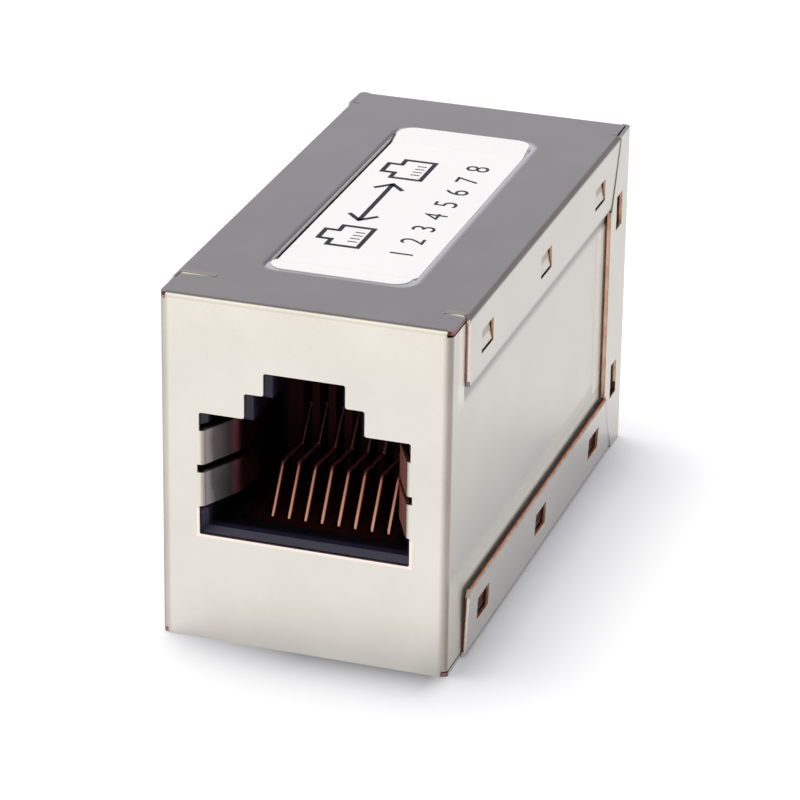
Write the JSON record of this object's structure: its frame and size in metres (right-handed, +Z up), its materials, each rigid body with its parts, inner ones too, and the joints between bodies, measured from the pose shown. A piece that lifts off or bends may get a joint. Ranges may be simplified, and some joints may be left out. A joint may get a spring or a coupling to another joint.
{
  "type": "shielded inline coupler",
  "caption": "Shielded feed-through coupler: a folded metal box with a modular jack port at each end and sprung contacts joined by a circuit board inside.",
  "frame": {"origin": "middle of the footprint, on the surface that the coupler rests on", "axes": "+Z up, towards the latch side of both ports; +Y from the front port to the rear port; +X to the right seen from the front"},
  "size_m": [0.0182, 0.0358, 0.0214],
  "materials": {
    "nickel_plate": "thin satin nickel plating on copper alloy sheet, bare copper colour on the cut edges",
    "label_film": "white printed film label",
    "board_laminate": "glass laminate with solder mask",
    "black_plastic": "black moulded plastic, slightly glossy",
    "dark_plastic": "dark moulded plastic",
    "contact_plate": "thinly gold-plated copper alloy",
    "solder": "bright tin solder"
  },
  "bodies": {
    "root": {"shield": "nickel_plate", "label": "label_film", "circuit_board": "board_laminate", "front_housing": "black_plastic", "rear_housing": "black_plastic", "front_carrier": "dark_plastic", "rear_carrier": "dark_plastic", "front_solder": "solder", "rear_solder": "solder", "front_contact_1": "contact_plate", "front_contact_2": "contact_plate", "front_contact_3": "contact_plate", "front_contact_4": "contact_plate", "front_contact_5": "contact_plate", "front_contact_6": "contact_plate", "front_contact_7": "contact_plate", "front_contact_8": "contact_plate", "rear_contact_1": "contact_plate", "rear_contact_2": "contact_plate", "rear_contact_3": "contact_plate", "rear_contact_4": "contact_plate", "rear_contact_5": "contact_plate", "rear_contact_6": "contact_plate", "rear_contact_7": "contact_plate", "rear_contact_8": "contact_plate"}
  },
  "joints": []
}
